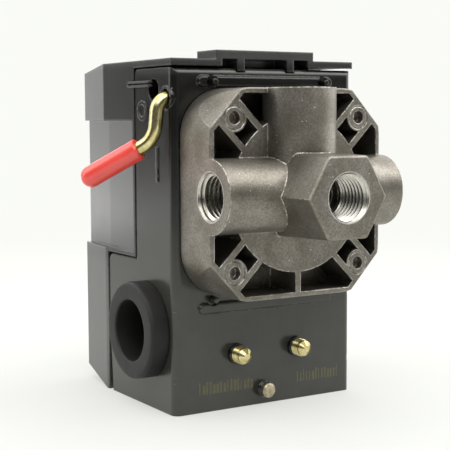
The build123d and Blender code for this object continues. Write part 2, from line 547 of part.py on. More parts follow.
with BuildPart() as terminal_screws:
    for x in TERMINAL_X:
        bar_y(x, TERMINAL_Z, 1.5, 5.0, TERMINAL_TOP + 2.5)
        bar_y(x, TERMINAL_Z, 2.9, TERMINAL_TOP + 1.9, TERMINAL_TOP + 4.1)
        block((x - 2.5, x + 2.5), (TERMINAL_TOP + 3.1, 18), (TERMINAL_Z - 0.5, TERMINAL_Z + 0.5),
              Mode.SUBTRACT)
save(terminal_screws, "terminal_screws")

with BuildPart() as block_screws:
    for x in FIXING_X:
        bar_y(x, FIXING_Z, FIXING_R, -6.0, 5.5)
        bar_y(x, FIXING_Z, 3.2, 5.0, 7.4)
        block((x - 3, x + 3), (6.4, 8), (FIXING_Z - 0.5, FIXING_Z + 0.5), Mode.SUBTRACT)
    chamfer(block_screws.edges().group_by(Axis.Y)[0], length=1.2, length2=1.4)
save(block_screws, "block_screws")

with BuildPart() as ground_screw:
    bar_y(GROUND_X, GROUND_Z, GROUND_R, -3.6, SHEET + 1)
    hexagon_y(GROUND_X, GROUND_Z, 5.0, SHEET, SHEET + 2.6)
    chamfer(ground_screw.edges().group_by(Axis.Y)[0], 0.5)
save(ground_screw, "ground_screw")

# ---------------------------------------------------------------- moving contacts
CARRIER_LEFT, CARRIER_RIGHT = BLOCK_LEFT + EAR_WALL + 0.9, BLOCK_RIGHT - EAR_WALL - 0.9
BEAM_LOW, BEAM_HIGH = 16.5, 22.5
bridges = [(TERMINAL_X[0] - 2.6, TERMINAL_X[1] + 2.5), (TERMINAL_X[2] - 2.5, TERMINAL_X[3] + 2.6)]
bridge_mids = [(low + high) / 2 for low, high in bridges]
LINK_LIFT = CRANK_LONG * (sin(radians(CRANK_REST + SELECTOR_TURN)) - sin(radians(CRANK_REST)))
TAIL_Z = 31.0
with BuildPart() as contact_carrier:
    block((CARRIER_LEFT, CARRIER_RIGHT), (BEAM_LOW, BEAM_HIGH), (18.5, 26.5))
    for x in (CARRIER_LEFT, CARRIER_RIGHT - 3):
        block((x, x + 3), (BEAM_LOW, BEAM_HIGH), (26, CARRIER_Z))
        bar_x(CARRIER_Y, CARRIER_Z, 3.0, x, x + 3)
    bar_x(CARRIER_Y, CARRIER_Z, CARRIER_PIN, BLOCK_LEFT + 0.2, CARRIER_LEFT + 1)
    bar_x(CARRIER_Y, CARRIER_Z, CARRIER_PIN, CARRIER_RIGHT - 1, BLOCK_RIGHT - 0.2)
    # A tail that the trip link pulls up to hold the contacts open
    block((CARRIER_LEFT, CARRIER_LEFT + 3), (BEAM_LOW, 31), (TAIL_Z, TAIL_Z + 2.2))
    for x in bridge_mids:
        block((x - 2.5, x + 2.5), (BEAM_LOW - 1, BEAM_HIGH + 1), (19.7, 24.7), Mode.SUBTRACT)
save(contact_carrier, "contact_carrier")

with BuildPart() as moving_contacts:
    for low, high in bridges:
        block((low, high), (15.6, BEAM_LOW), (19.7, 23.7))
    for x in TERMINAL_X:
        bar_y(x, CONTACT_Z, 1.9, 15.0, 16.0)
save(moving_contacts, "moving_contacts")

contact_springs = Compound(children=[
    coil_y(x, 22.2, 1.7, 0.3, BEAM_LOW, BEAM_HIGH - 0.6, 5) for x in bridge_mids
])
contact_springs.label = "contact_springs"
export_step(contact_springs, "parts/contact_springs.step")

# ---------------------------------------------------------------- selector
rod_points = [
    (ROD_LONG[0], SELECTOR_Y, SELECTOR_Z), (ROD_LONG[1], SELECTOR_Y, SELECTOR_Z),
    (ROD_X, SELECTOR_Y + 0.3, SELECTOR_Z - 11.7),
]
HANDLE_X, HANDLE_Y, HANDLE_Z = -0.562, 0.680, -0.471     # direction of the handle
SLEEVE_START, SLEEVE_END, ROD_END = 5.5, 25.4, 23.0      # distances along the handle


def on_handle(distance):
    """A point on the handle's centre line, this far from the lower bend."""
    x, y, z = rod_points[-1]
    return (x + HANDLE_X * distance, y + HANDLE_Y * distance, z + HANDLE_Z * distance)


handle_dir = (HANDLE_X, HANDLE_Y, HANDLE_Z)
with BuildPart() as selector_rod:
    with BuildLine() as rod_line:
        FilletPolyline(*rod_points, on_handle(ROD_END), radius=(3.9, 7.5))
    with BuildSketch(Plane.YZ.offset(rod_points[0][0])) as rod_section:
        with Locations((SELECTOR_Y, SELECTOR_Z)):
            Circle(ROD_R)
    sweep(rod_section.sketch, path=rod_line.wire())
    bar_x(SELECTOR_Y, SELECTOR_Z, SHAFT_R, ROD_LONG[0] - 0.1, -20.6)
save(selector_rod, "selector_rod")

with BuildPart() as selector_sleeve:
    with BuildSketch(Plane(origin=on_handle(SLEEVE_START), z_dir=handle_dir)) as tube:
        Circle(SLEEVE_R)
    extrude(tube.sketch, amount=SLEEVE_END - SLEEVE_START)
    sleeve_ends = selector_sleeve.edges().filter_by(GeomType.CIRCLE).sort_by(Axis.X)
    fillet(sleeve_ends[:1], 3.0)
    fillet(sleeve_ends[-1:], 0.5)
    with BuildSketch(Plane(origin=on_handle(SLEEVE_START - 1), z_dir=handle_dir)) as bore:
        Circle(ROD_R + 0.02)
    extrude(bore.sketch, amount=ROD_END + 1.05 - SLEEVE_START, mode=Mode.SUBTRACT)
save(selector_sleeve, "selector_sleeve")

CRANK_X, CRANK_R = (-28.1, -26.6), 1.9
pin_y = SELECTOR_Y + CRANK_LONG * cos(radians(CRANK_REST))
pin_z = SELECTOR_Z + CRANK_LONG * sin(radians(CRANK_REST))
with BuildPart() as selector_crank:
    with BuildSketch(Plane.YZ.offset(CRANK_X[0])) as arm:
        with Locations((SELECTOR_Y, SELECTOR_Z), (pin_y, pin_z)):
            Circle(CRANK_R)
        middle = ((SELECTOR_Y + pin_y) / 2, (SELECTOR_Z + pin_z) / 2)
        with Locations(Location((middle[0], middle[1], 0), (0, 0, CRANK_REST))):
            Rectangle(CRANK_LONG, 2 * CRANK_R)
    extrude(arm.sketch, amount=CRANK_X[1] - CRANK_X[0])
    bar_x(pin_y, pin_z, PIN_R, CRANK_X[1] - 0.5, -24.7)
    bar_x(SELECTOR_Y, SELECTOR_Z, SHAFT_R, -30, -20, Mode.SUBTRACT)
save(selector_crank, "selector_crank")

# The fork's slot lets the pin swing while the strip slides straight
slot_half = PIN_R + 0.35
fork_front, fork_back, slot_back = 6.0, 12.4, 10.0
link_rest = [
    (fork_front, pin_z + slot_half), (slot_back, pin_z + slot_half), (slot_back, pin_z - slot_half),
    (fork_front, pin_z - slot_half), (fork_front, pin_z - 3.1), (8.8, pin_z - 4.5), (8.8, 52),
    (27.0, 38), (27.0, TAIL_Z - 0.4 - LINK_LIFT - 1.3), (31.0, TAIL_Z - 0.4 - LINK_LIFT - 1.3), (31.0, 40.5),
    (12.4, 55), (fork_back, pin_z + 2.9), (fork_front, pin_z + 2.9),
]
with BuildPart() as trip_link:
    plate_x(link_rest, LINK_X, LINK_X + LINK_T)
    foot_top = TAIL_Z - 0.4 - LINK_LIFT
    block((LINK_X, CARRIER_LEFT + 3), (27.0, 31.0), (foot_top - 1.3, foot_top))
save(trip_link, "trip_link")

with BuildPart() as link_guide:
    block((-HALF + SHEET, LINK_X + LINK_T + 1.2), (6.8, 14.4), (66, 71))
    block((LINK_X - 0.2, LINK_X + LINK_T + 0.2), (8.5, 12.7), (65, 72), Mode.SUBTRACT)
save(link_guide, "link_guide")

# ---------------------------------------------------------------- trims in the side walls
with BuildPart() as cable_grommet:
    wall = -HALF
    bar_x(GROMMET_Y, GROMMET_Z, GROMMET_R, wall - GROMMET_OUT, wall)
    fillet(cable_grommet.edges().sort_by(Axis.X)[:1], 0.7)
    bar_x(GROMMET_Y, GROMMET_Z, GROMMET_HOLE, wall - 0.5, wall + SHEET + 0.5)
    bar_x(GROMMET_Y, GROMMET_Z, 12.8, wall + SHEET, wall + SHEET + 2.3)
    bar_x(GROMMET_Y, GROMMET_Z, GROMMET_BORE, wall - 10, wall + 10, Mode.SUBTRACT)
save(cable_grommet, "cable_grommet")

with BuildPart() as hole_plug:
    wall = HALF
    bar_x(GROMMET_Y, GROMMET_Z, 12.6, wall, wall + 1.2)
    fillet(hole_plug.edges().sort_by(Axis.X)[-1:], 0.8)
    bar_x(GROMMET_Y, GROMMET_Z, GROMMET_HOLE - 0.05, wall - 3.2, wall + 0.5)
    bar_x(GROMMET_Y, GROMMET_Z, 9.4, wall - 4, wall, Mode.SUBTRACT)
save(hole_plug, "hole_plug")

CLIP_X = -COVER_X - CLIP_R - 0.06
with BuildPart() as wire_clip:
    low, high, inner_y, loop_y = CLIP_Z - 0.55, CLIP_Z + 0.55, 12.1, 25.0
    for z in (low, high):
        with BuildLine() as leg:
            FilletPolyline((-28, inner_y, z), (CLIP_X, inner_y, z), (CLIP_X, loop_y, z), radius=0.9)
        with BuildSketch(Plane.YZ.offset(-28)) as leg_section:
            with Locations((inner_y, z)):
                Circle(CLIP_R)
        sweep(leg_section.sketch, path=leg.wire())
    with BuildLine() as loop:
        ThreePointArc((CLIP_X, loop_y, low), (CLIP_X, loop_y + 0.55, CLIP_Z), (CLIP_X, loop_y, high))
    with BuildSketch(facing(loop_y)) as loop_section:
        with Locations((CLIP_X, low)):
            Circle(CLIP_R)
    sweep(loop_section.sketch, path=loop.wire())
save(wire_clip, "wire_clip")
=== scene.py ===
import json
import math
import random

import bpy
from mathutils import Matrix, Vector


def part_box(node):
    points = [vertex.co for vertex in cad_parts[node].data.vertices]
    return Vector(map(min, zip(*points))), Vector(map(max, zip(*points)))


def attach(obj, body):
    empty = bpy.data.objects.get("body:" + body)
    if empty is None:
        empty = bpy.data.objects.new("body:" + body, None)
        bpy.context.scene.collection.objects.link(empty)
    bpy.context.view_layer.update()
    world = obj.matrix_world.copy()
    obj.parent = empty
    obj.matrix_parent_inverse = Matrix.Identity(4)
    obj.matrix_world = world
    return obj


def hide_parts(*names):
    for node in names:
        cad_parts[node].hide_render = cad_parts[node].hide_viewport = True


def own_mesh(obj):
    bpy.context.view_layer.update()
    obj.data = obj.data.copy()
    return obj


# Looks for the pressure switch. Everything is in metres, in the CAD model's own frame, and MM turns
# the millimetres that the sizes below are given in into metres.
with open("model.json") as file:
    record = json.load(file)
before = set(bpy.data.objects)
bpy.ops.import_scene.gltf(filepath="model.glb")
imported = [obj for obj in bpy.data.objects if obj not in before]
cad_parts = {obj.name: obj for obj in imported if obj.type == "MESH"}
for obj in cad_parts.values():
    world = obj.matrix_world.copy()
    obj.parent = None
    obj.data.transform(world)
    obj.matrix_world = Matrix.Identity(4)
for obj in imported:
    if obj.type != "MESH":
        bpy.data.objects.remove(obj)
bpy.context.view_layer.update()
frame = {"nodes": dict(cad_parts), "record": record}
MM = 0.001
nodes = frame["nodes"]
scene = bpy.context.scene
scene.view_settings.view_transform = "Standard"

# ---------------------------------------------------------------- camera
CAMERA_AT = Vector((-0.18933, -0.28300, 0.08554))
AZIMUTH, ELEVATION, ROLL = math.radians(-31.727), math.radians(5.347), math.radians(-0.25)
SENSOR, LENS = 36, 92.23


def aim_camera():
    """The camera stands to the left of the port block and a little above it."""
    ahead = Vector((
        -math.sin(AZIMUTH) * math.cos(ELEVATION),
        math.cos(AZIMUTH) * math.cos(ELEVATION),
        -math.sin(ELEVATION),
    ))
    right = Vector((math.cos(AZIMUTH), math.sin(AZIMUTH), 0))
    up = right.cross(ahead)
    side = right * math.cos(ROLL) + up * math.sin(ROLL)
    top = up * math.cos(ROLL) - right * math.sin(ROLL)
    data = bpy.data.cameras.new("camera")
    data.sensor_width, data.lens = SENSOR, LENS
    camera = bpy.data.objects.new("camera", data)
    turn = Matrix((side, top, -ahead)).transposed().to_4x4()
    camera.matrix_world = Matrix.Translation(CAMERA_AT) @ turn
    scene.collection.objects.link(camera)
    scene.camera = camera


aim_camera()


# ---------------------------------------------------------------- materials
class Tree:
    """A node tree, with short ways to add nodes and link them."""

    def __init__(self, tree):
        self.tree = tree
        self.tree.nodes.clear()

    def add(self, kind):
        return self.tree.nodes.new(kind)

    def put(self, socket, value):
        """Links another node's output to a socket, or sets a plain value on it."""
        if isinstance(value, bpy.types.NodeSocket):
            self.tree.links.new(value, socket)
        else:
            socket.default_value = value

    def calc(self, operation, a, b):
        node = self.add("ShaderNodeMath")
        node.operation = operation
        self.put(node.inputs[0], a)
        self.put(node.inputs[1], b)
        return node.outputs[0]

    def dot(self, a, b):
        node = self.add("ShaderNodeVectorMath")
        node.operation = "DOT_PRODUCT"
        self.put(node.inputs[0], a)
        self.put(node.inputs[1], b)
        return node.outputs["Value"]

    def ramp(self, value, low, high, start=0.0, end=1.0):
        """start where value is at or under low, end at or over high, and smooth between them."""
        node = self.add("ShaderNodeMapRange")
        node.interpolation_type = "SMOOTHSTEP"
        self.put(node.inputs["Value"], value)
        node.inputs["From Min"].default_value, node.inputs["From Max"].default_value = low, high
        node.inputs["To Min"].default_value, node.inputs["To Max"].default_value = start, end
        return node.outputs[0]


class Finish(Tree):
    """A material's node tree, built up from procedural textures in object coordinates."""

    NOISE_ROUGHNESS = 0.55
    BEVEL_SAMPLES = 4

    def __init__(self, name):
        self.material = bpy.data.materials.new(name)
        self.material.use_nodes = True
        super().__init__(self.material.node_tree)
        self.shader = self.add("ShaderNodeBsdfPrincipled")
        self.put(self.add("ShaderNodeOutputMaterial").inputs[0], self.shader.outputs[0])
        self.place = self.add("ShaderNodeTexCoord").outputs["Object"]

    def noise(self, size_mm, detail):
        node = self.add("ShaderNodeTexNoise")
        self.put(node.inputs["Vector"], self.place)
        node.inputs["Scale"].default_value = 1 / (size_mm * MM)
        node.inputs["Detail"].default_value = detail
        node.inputs["Roughness"].default_value = self.NOISE_ROUGHNESS
        return node.outputs["Fac"]

    def scale(self, value, low, high):
        """A value from 0 to 1 as one from low to high."""
        node = self.add("ShaderNodeMapRange")
        self.put(node.inputs["Value"], value)
        node.inputs["To Min"].default_value, node.inputs["To Max"].default_value = low, high
        return node.outputs[0]

    def mix(self, amount, a, b):
        node = self.add("ShaderNodeMix")
        node.data_type = "RGBA"
        self.put(node.inputs["Factor"], amount)
        self.put(node.inputs["A"], a)
        self.put(node.inputs["B"], b)
        return node.outputs["Result"]

    def height(self):
        node = self.add("ShaderNodeSeparateXYZ")
        self.put(node.inputs[0], self.place)
        return node.outputs["Z"]

    def bevel(self, radius_mm):
        """The normal that the surface would have if its edges were rounded to this radius."""
        node = self.add("ShaderNodeBevel")
        node.samples = self.BEVEL_SAMPLES
        node.inputs["Radius"].default_value = radius_mm * MM
        return node.outputs[0]

    def edges(self, radius_mm):
        """Near 1 on edges sharper than this radius."""
        flat = self.add("ShaderNodeNewGeometry").outputs["Normal"]
        bent = self.calc("SUBTRACT", 1.0, self.dot(self.bevel(radius_mm), flat))
        return self.ramp(bent, 0.01, 0.12)

    def bump(self, layers, soften_mm):
        """Layers are (height, strength, distance in mm), coarse first, over softened edges."""
        normal = self.bevel(soften_mm) if soften_mm else None
        for height, strength, distance in layers:
            node = self.add("ShaderNodeBump")
            node.inputs["Strength"].default_value = strength
            node.inputs["Distance"].default_value = distance * MM
            self.put(node.inputs["Height"], height)
            if normal is not None:
                self.put(node.inputs["Normal"], normal)
            normal = node.outputs[0]
        self.put(self.shader.inputs["Normal"], normal)

    def specks(self, size_mm, share, radius):
        """Small dots of dust or bare metal in a share of a pattern's cells."""
        cells = self.add("ShaderNodeTexVoronoi")
        self.put(cells.inputs["Vector"], self.place)
        cells.inputs["Scale"].default_value = 1 / (size_mm * MM)
        picked = self.add("ShaderNodeSeparateColor")
        self.put(picked.inputs[0], cells.outputs["Color"])
        near = self.ramp(cells.outputs["Distance"], radius * 0.6, radius, 1.0, 0.0)
        return self.calc("MULTIPLY", near, self.calc("LESS_THAN", picked.outputs[0], share))


def rgb(red, green, blue):
    """sRGB from 0 to 255 as the linear colour that a shader takes."""
    def linear(part):
        part /= 255
        return part / 12.92 if part < 0.04045 else ((part + 0.055) / 1.055) ** 2.4
    return (linear(red), linear(green), linear(blue), 1.0)


def finish(name, dark, light, rough, metal=0.0, patch=6.0, grain=0.25, grain_depth=0.02, fine=0.3,
           grit=None, wear=None, wear_mm=0.3, wear_low=0.4, dust=None, painted_sheen=None, soften=0.25,
           specular=0.5, swell=0.0):
    """The plain recipe: patchy colour, uneven roughness, grain, worn edges and dust, and a painted sheen
    that stands in for reflected light.

    Sizes are in mm. fine is how strongly the grain darkens the colour towards grit, or towards dark.
    dust is (cell size, share of the cells, dot size in a cell, colour). painted_sheen is a colour painted
    in as reflected light,
    lighter low down and near the top: the heights between which it fades out, and the heights between
    which it comes back.
    """
    f = Finish(name)
    fleck = f.noise(grain * 2, 2.0)
    colour = f.mix(f.ramp(f.noise(patch, 4.0), 0.3, 0.7), dark, light)
    colour = f.mix(f.calc("MULTIPLY", f.ramp(fleck, 0.38, 0.62), fine), colour, grit or dark)
    # Painted sheen: the colour is made lighter low down and near the top edge, standing in for light
    # reflected off the table below and the lamp above.
    if painted_sheen:
        sheen_colour, fades_from, fades_to, back_from, back_to = painted_sheen
        low_part = f.ramp(f.height(), fades_from * MM, fades_to * MM, 1.0, 0.0)
        top_part = f.ramp(f.height(), back_from * MM, back_to * MM)
        patchy = f.scale(f.noise(7.0, 4.0), 0.55, 1.15)
        amount = f.calc("MULTIPLY", f.calc("ADD", low_part, top_part), patchy)
        colour = f.mix(amount, colour, sheen_colour)
    if wear:
        worn = f.calc("MULTIPLY", f.edges(wear_mm), f.ramp(f.noise(1.3, 3.0), wear_low, wear_low + 0.2))
        colour = f.mix(worn, colour, wear)
    if dust:
        colour = f.mix(f.specks(*dust[:3]), colour, dust[3])
    f.put(f.shader.inputs["Base Color"], colour)
    f.put(f.shader.inputs["Roughness"], f.scale(f.noise(patch * 0.6, 5.0), *rough))
    f.put(f.shader.inputs["Metallic"], metal)
    f.put(f.shader.inputs["Specular IOR Level"], specular)
    layers = [(fleck, 0.5, grain_depth)]
    if swell:
        layers.insert(0, (f.noise(patch * 2.2, 1.0), 0.35, swell))
    f.bump(layers, soften)
    return f.material


# black_paint's painted sheen makes the walls lighter low down, fading out by 88 mm, as reflected white
# table light would, and makes the rounded top fold lighter from 96.5 mm up as a painted highlight.
black_paint = finish(
    "black_paint", rgb(13, 13, 12), rgb(20, 20, 19), (0.16, 0.26), patch=9.0, grain=0.35,
    grain_depth=0.012, wear=rgb(120, 118, 110), wear_mm=0.25, dust=(2.4, 0.05, 0.09, rgb(170, 170, 160)),
    swell=0.05, specular=0.6, soften=0.6, painted_sheen=(rgb(56, 56, 52), 30, 88, 96.5, 99.5),
)
# cover_plastic's painted sheen makes the cover lighter below about 44 mm and on its top ledge from 99.5 mm
# up, standing in for reflected light.
cover_plastic = finish(
    "cover_plastic", rgb(30, 30, 30), rgb(36, 36, 36), (0.20, 0.28), patch=14.0, grain=0.3,
    grain_depth=0.006, wear=rgb(90, 90, 88), wear_mm=0.2, dust=(3.5, 0.03, 0.07, rgb(130, 130, 126)),
    swell=0.05, specular=0.6, soften=0.8, painted_sheen=(rgb(72, 72, 71), 38, 44, 99.5, 103),
)
cast_aluminium = finish(
    "cast_aluminium", rgb(127, 122, 112), rgb(151, 147, 139), (0.34, 0.48), metal=0.9, patch=8.0,
    grain=0.26, grain_depth=0.06, wear=rgb(232, 230, 224), wear_mm=0.5, wear_low=0.40,
    dust=(1.1, 0.12, 0.15, rgb(236, 233, 226)), soften=0.5, swell=0.05, fine=0.42, grit=rgb(88, 84, 76),
)
black_rubber = finish(
    "black_rubber", rgb(20, 20, 19), rgb(29, 29, 27), (0.5, 0.64), patch=5.0, grain=0.2,
    grain_depth=0.02, dust=(2.8, 0.05, 0.07, rgb(120, 120, 110)), specular=0.4,
)
red_vinyl = finish(
    "red_vinyl", rgb(232, 68, 59), rgb(239, 79, 70), (0.24, 0.34), patch=8.0, grain=0.5,
    grain_depth=0.01, dust=(3.0, 0.03, 0.06, rgb(240, 160, 150)), swell=0.12, specular=0.9,
)
yellow_zinc = finish(
    "yellow_zinc", rgb(192, 178, 116), rgb(232, 222, 172), (0.16, 0.30), metal=1.0, patch=2.6,
    grain=0.2, grain_depth=0.015, wear=rgb(205, 198, 165), wear_mm=0.2, fine=0.25, swell=0.08,
)
white_zinc = finish(
    "white_zinc", rgb(112, 114, 116), rgb(150, 152, 154), (0.25, 0.38), metal=1.0, patch=4.0,
    grain=0.2, grain_depth=0.01, wear=rgb(235, 235, 235),
)
tan_brass = finish(
    "tan_brass", rgb(160, 148, 120), rgb(204, 194, 168), (0.3, 0.45), metal=0.9, patch=1.4, grain=0.15,
    grain_depth=0.02,
)
spring_steel = finish(
    "spring_steel", rgb(70, 70, 72), rgb(108, 108, 110), (0.22, 0.34), metal=1.0, patch=3.0,
    grain=0.15, grain_depth=0.01,
)
black_steel = finish(
    "black_steel", rgb(14, 14, 15), rgb(26, 26, 27), (0.18, 0.3), patch=3.0, grain=0.2, grain_depth=0.01,
    wear=rgb(170, 170, 170),
)
moulding = finish(
    "moulding", rgb(34, 26, 20), rgb(50, 39, 30), (0.4, 0.55), patch=3.0, grain=0.2, grain_depth=0.02,
    wear=rgb(120, 104, 90),
)
contact_brass = finish(
    "contact_brass", rgb(140, 112, 62), rgb(168, 142, 90), (0.2, 0.34), metal=1.0, patch=3.0,
    grain=0.15, grain_depth=0.008,
)
plug_plastic = finish(
    "plug_plastic", rgb(20, 20, 20), rgb(28, 28, 28), (0.45, 0.6), patch=5.0, grain=0.25,
    grain_depth=0.015, wear=rgb(90, 90, 90),
)
machined = finish(
    "machined", rgb(188, 184, 175), rgb(214, 211, 204), (0.22, 0.36), metal=1.0, patch=1.6, grain=0.12,
    grain_depth=0.01, soften=0.0,
)
slot_finishes = {
    "black_paint": black_paint, "cover_plastic": cover_plastic, "cast_aluminium": cast_aluminium,
    "black_rubber": black_rubber, "red_vinyl": red_vinyl, "yellow_zinc": yellow_zinc,
    "white_zinc": white_zinc, "tan_brass": tan_brass, "spring_steel": spring_steel,
    "black_steel": black_steel, "moulding": moulding, "contact_brass": contact_brass,
    "plug_plastic": plug_plastic,
}
for part in frame["record"]["subparts"]:
    node = nodes[part["node"]]
    for slot in node.material_slots:
        slot.material = slot_finishes[part["material_slot"]]
    if not node.material_slots:
        node.data.materials.append(slot_finishes[part["material_slot"]])


# ---------------------------------------------------------------- mesh helpers
def add_piece(name, points, faces, material, smooth=True, sharp_deg=40):
    """A piece from its points in metres and its faces, riding on the base."""
    mesh = bpy.data.meshes.new(name)
    mesh.from_pydata(points, [], faces)
    mesh.validate()
    mesh.materials.append(material)
    obj = bpy.data.objects.new(name, mesh)
    scene.collection.objects.link(obj)
    if smooth:
        mesh.shade_smooth()
        mesh.set_sharp_from_angle(angle=math.radians(sharp_deg))
    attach(obj, "base")
    return obj


def grid_faces(rows, columns, close_columns=False, close_rows=False, start=0):
    """Quads over a grid of points that are stored row by row from number start."""
    faces = []
    for i in range(rows if close_rows else rows - 1):
        for j in range(columns if close_columns else columns - 1):
            row, next_row = start + i * columns, start + (i + 1) % rows * columns
            next_j = (j + 1) % columns
            faces.append((row + j, row + next_j, next_row + next_j, next_row + j))
    return faces


def across(axis):
    """Two unit vectors square to an axis and to each other."""
    side = axis.orthogonal().normalized()
    return side, axis.cross(side)


def spoke(turn, side=Vector((1, 0, 0)), other=Vector((0, 0, 1))):
    """The unit vector at this many turns from side towards other."""
    angle = 2 * math.pi * turn
    return side * math.cos(angle) + other * math.sin(angle)


def lathe(name, profile, centre, axis, material, steps=96):
    """Turns a closed profile of (distance along axis, radius) in mm about an axis through centre."""
    axis = Vector(axis)
    side, other = across(axis)
    points = []
    for along, radius in profile:
        for k in range(steps):
            out = spoke(k / steps, side, other)
            points.append((Vector(centre) + axis * along + out * radius) * MM)
    faces = grid_faces(len(profile), steps, close_columns=True, close_rows=True)
    return add_piece(name, points, faces, material)


def rounded(corners, radii, steps=6):
    """A profile whose inner corners are rounded to these radii. Its first corner closes it too."""
    line = [Vector(corners[0])]
    for before, corner, after, radius in zip(corners, corners[1:], corners[2:], radii):
        before, corner, after = Vector(before), Vector(corner), Vector(after)
        if radius <= 0:
            line.append(corner)
            continue
        a, b = (before - corner).normalized(), (after - corner).normalized()
        reach = radius / math.tan(a.angle(b) / 2)
        start, end = corner + a * reach, corner + b * reach
        for k in range(steps + 1):
            t = k / steps
            line.append(start * (1 - t) ** 2 + corner * 2 * t * (1 - t) + end * t ** 2)
    return [tuple(point) for point in line]


# ---------------------------------------------------------------- port block
block_low, block_high = (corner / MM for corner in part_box("manifold"))
MID = (block_low.z + block_high.z) / 2
PORT_Y, PORT_R, PORT_LIP = -16.8, 6.75, 0.35
PITCH, CREST, THREAD_FROM, TAPER = 1.41, 0.85, 0.3, 32
MARK_R, MARK_WIRE = 1.7, 0.07


def port_thread(name, mouth, outward, turns):
    """A tapered pipe thread on a port's wall, with the turned lip at its mouth."""
    steps = 64
    mouth, outward = Vector(mouth), Vector(outward)
    side, other = across(outward)
    ridge = ((0.0, 0.0), (0.10, 0.0), (0.42, 1.0), (0.58, 1.0), (0.90, 0.0), (1.0, 0.0))
    total = int(turns * steps)
    points = []
    for k in range(total + 1):
        out = spoke(k / steps, side, other)
        grow = min(1.0, k / (steps * 0.4), (total - k) / (steps * 1.2) + 0.02)
        for along, rise in ridge:
            deep = THREAD_FROM + PITCH * (k / steps + along)
            reach = PORT_R - deep / TAPER - CREST * rise * grow
            points.append((mouth - outward * deep + out * reach) * MM)
    faces = grid_faces(total + 1, len(ridge))
    lip = ((0.03, PORT_R + PORT_LIP), (0.03, PORT_R + 0.08), (-0.5, PORT_R - 0.35), (-1.0, PORT_R - 0.05))
    faces += grid_faces(len(lip), steps, close_columns=True, start=len(points))
    for along, reach in lip:
        for k in range(steps):
            points.append((mouth + outward * along + spoke(k / steps, side, other) * reach) * MM)
    return add_piece(name, points, faces, machined, sharp_deg=25)


def ejector_marks():
    """The ejector pins' round marks on the inlet face."""
    steps, around = 48, 8
    points, faces = [], []
    for x, z in ((-6.2, MID + 7.4), (6.3, MID - 7.2)):
        faces += grid_faces(steps, around, close_columns=True, close_rows=True, start=len(points))
        for k in range(steps):
            out = spoke(k / steps)
            for j in range(around):
                section = spoke(j / around, out, Vector((0, 0.8, 0)))
                points.append((Vector((x, block_low.y, z)) + out * MARK_R + section * MARK_WIRE) * MM)
    return add_piece("ejector_marks", points, faces, cast_aluminium, sharp_deg=80)


port_thread("inlet_thread", (0, block_low.y, MID), (0, -1, 0), 8.2)
port_thread("left_thread", (block_low.x, PORT_Y, MID), (-1, 0, 0), 7.4)
port_thread("right_thread", (block_high.x, PORT_Y, MID), (1, 0, 0), 7.4)
port_thread("top_thread", (0, PORT_Y, block_high.z), (0, 0, 1), 7.4)
ejector_marks()

# ---------------------------------------------------------------- springs
# Each row: node, (x, z), y of both ends, coil radius, wire radius, turns in each half, what is kept of
# the front and the back half's length at the joint's limit, and the joint that squashes the back half.
SPRINGS = (
    ("range_spring", (0, 51.05), 15.7, 40.0, 7.2, 1.1, 2.75, 0.841, 0.671, "range_nut_travel"),
    ("differential_spring", (0, 38.3), 14.6, 30.0, 3.3, 0.5, 4.0, 0.662, 0.636, "differential_nut_travel"),
)
FLAT_PITCH, FLAT_TURNS = 0.25, 0.8


def coil(name, at, y_from, y_to, radius, wire, turns, first_turn, flat_from):
    """Half a spring along Y. It is close wound over its first turn or, if not flat_from, its last."""
    around, per_turn = 12, 40
    total = int(turns * per_turn)
    run, heights = 0.0, []
    for k in range(total + 1):
        heights.append(run)
        from_end = k / per_turn if flat_from else turns - k / per_turn
        run += min(1.0, FLAT_PITCH + max(0.0, from_end - FLAT_TURNS))
    points = []
    for k, height in enumerate(heights):
        y = y_from + (y_to - y_from) * height / heights[-1]
        out = spoke(first_turn + k / per_turn)
        for j in range(around):
            section = spoke(j / around, out, Vector((0, 1, 0)))
            points.append((Vector((at[0], y, at[1])) + out * radius + section * wire) * MM)
    faces = grid_faces(total + 1, around, close_columns=True)
    faces.append(tuple(range(around)))
    faces.append(tuple(reversed(range(total * around, (total + 1) * around))))
    return add_piece(name, points, faces, spring_steel, sharp_deg=60)


for name, at, y_from, y_to, radius, wire, turns, keep_front, keep_back, travel in SPRINGS:
    middle = (y_from + y_to) / 2
    front = coil(name + "_front", at, y_from + wire, middle, radius, wire, turns, 0, True)
    back = coil(name + "_back", at, middle, y_to - wire, radius, wire, turns, turns, False)
    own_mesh(front)
    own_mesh(back)
    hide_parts(name)

# ---------------------------------------------------------------- cable grommet
GROMMET_R, GROMMET_BORE, GROMMET_NECK, GROMMET_LIP = 14.35, 9.05, 11.08, 12.8
GROMMET_FACE, NECK_LONG = 5.8, 1.5

low, high = (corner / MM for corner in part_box("cable_grommet"))
outer_x, inner_x = low.x, high.x
neck_from, neck_to = outer_x + GROMMET_FACE + 0.02, outer_x + GROMMET_FACE + NECK_LONG
profile = rounded(
    [(inner_x, GROMMET_BORE + 1.5), (inner_x, GROMMET_BORE), (outer_x, GROMMET_BORE),
     (outer_x, GROMMET_R), (neck_from, GROMMET_R), (neck_from, GROMMET_NECK),
     (neck_to, GROMMET_NECK), (neck_to, GROMMET_LIP), (inner_x, GROMMET_LIP - 1.0),
     (inner_x, GROMMET_BORE + 1.5)],
    (0.8, 0.7, 1.3, 0.5, 0, 0, 0.4, 0.6),
)
grommet = lathe("grommet_rubber", profile, (0, (low.y + high.y) / 2, (low.z + high.z) / 2), (1, 0, 0),
                black_rubber)
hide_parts("cable_grommet")

# ---------------------------------------------------------------- screws seen on the front wall
FIXING_X, FIXING_Z, GROUND_AT = (-10.6, 10.6), 16.2, (-1.05, 4.5)
SCREW_PITCH = 0.8
RING_IN, RING_OUT, RING_FRONT, RING_BACK = 2.4, 3.05, -1.3, 0.05


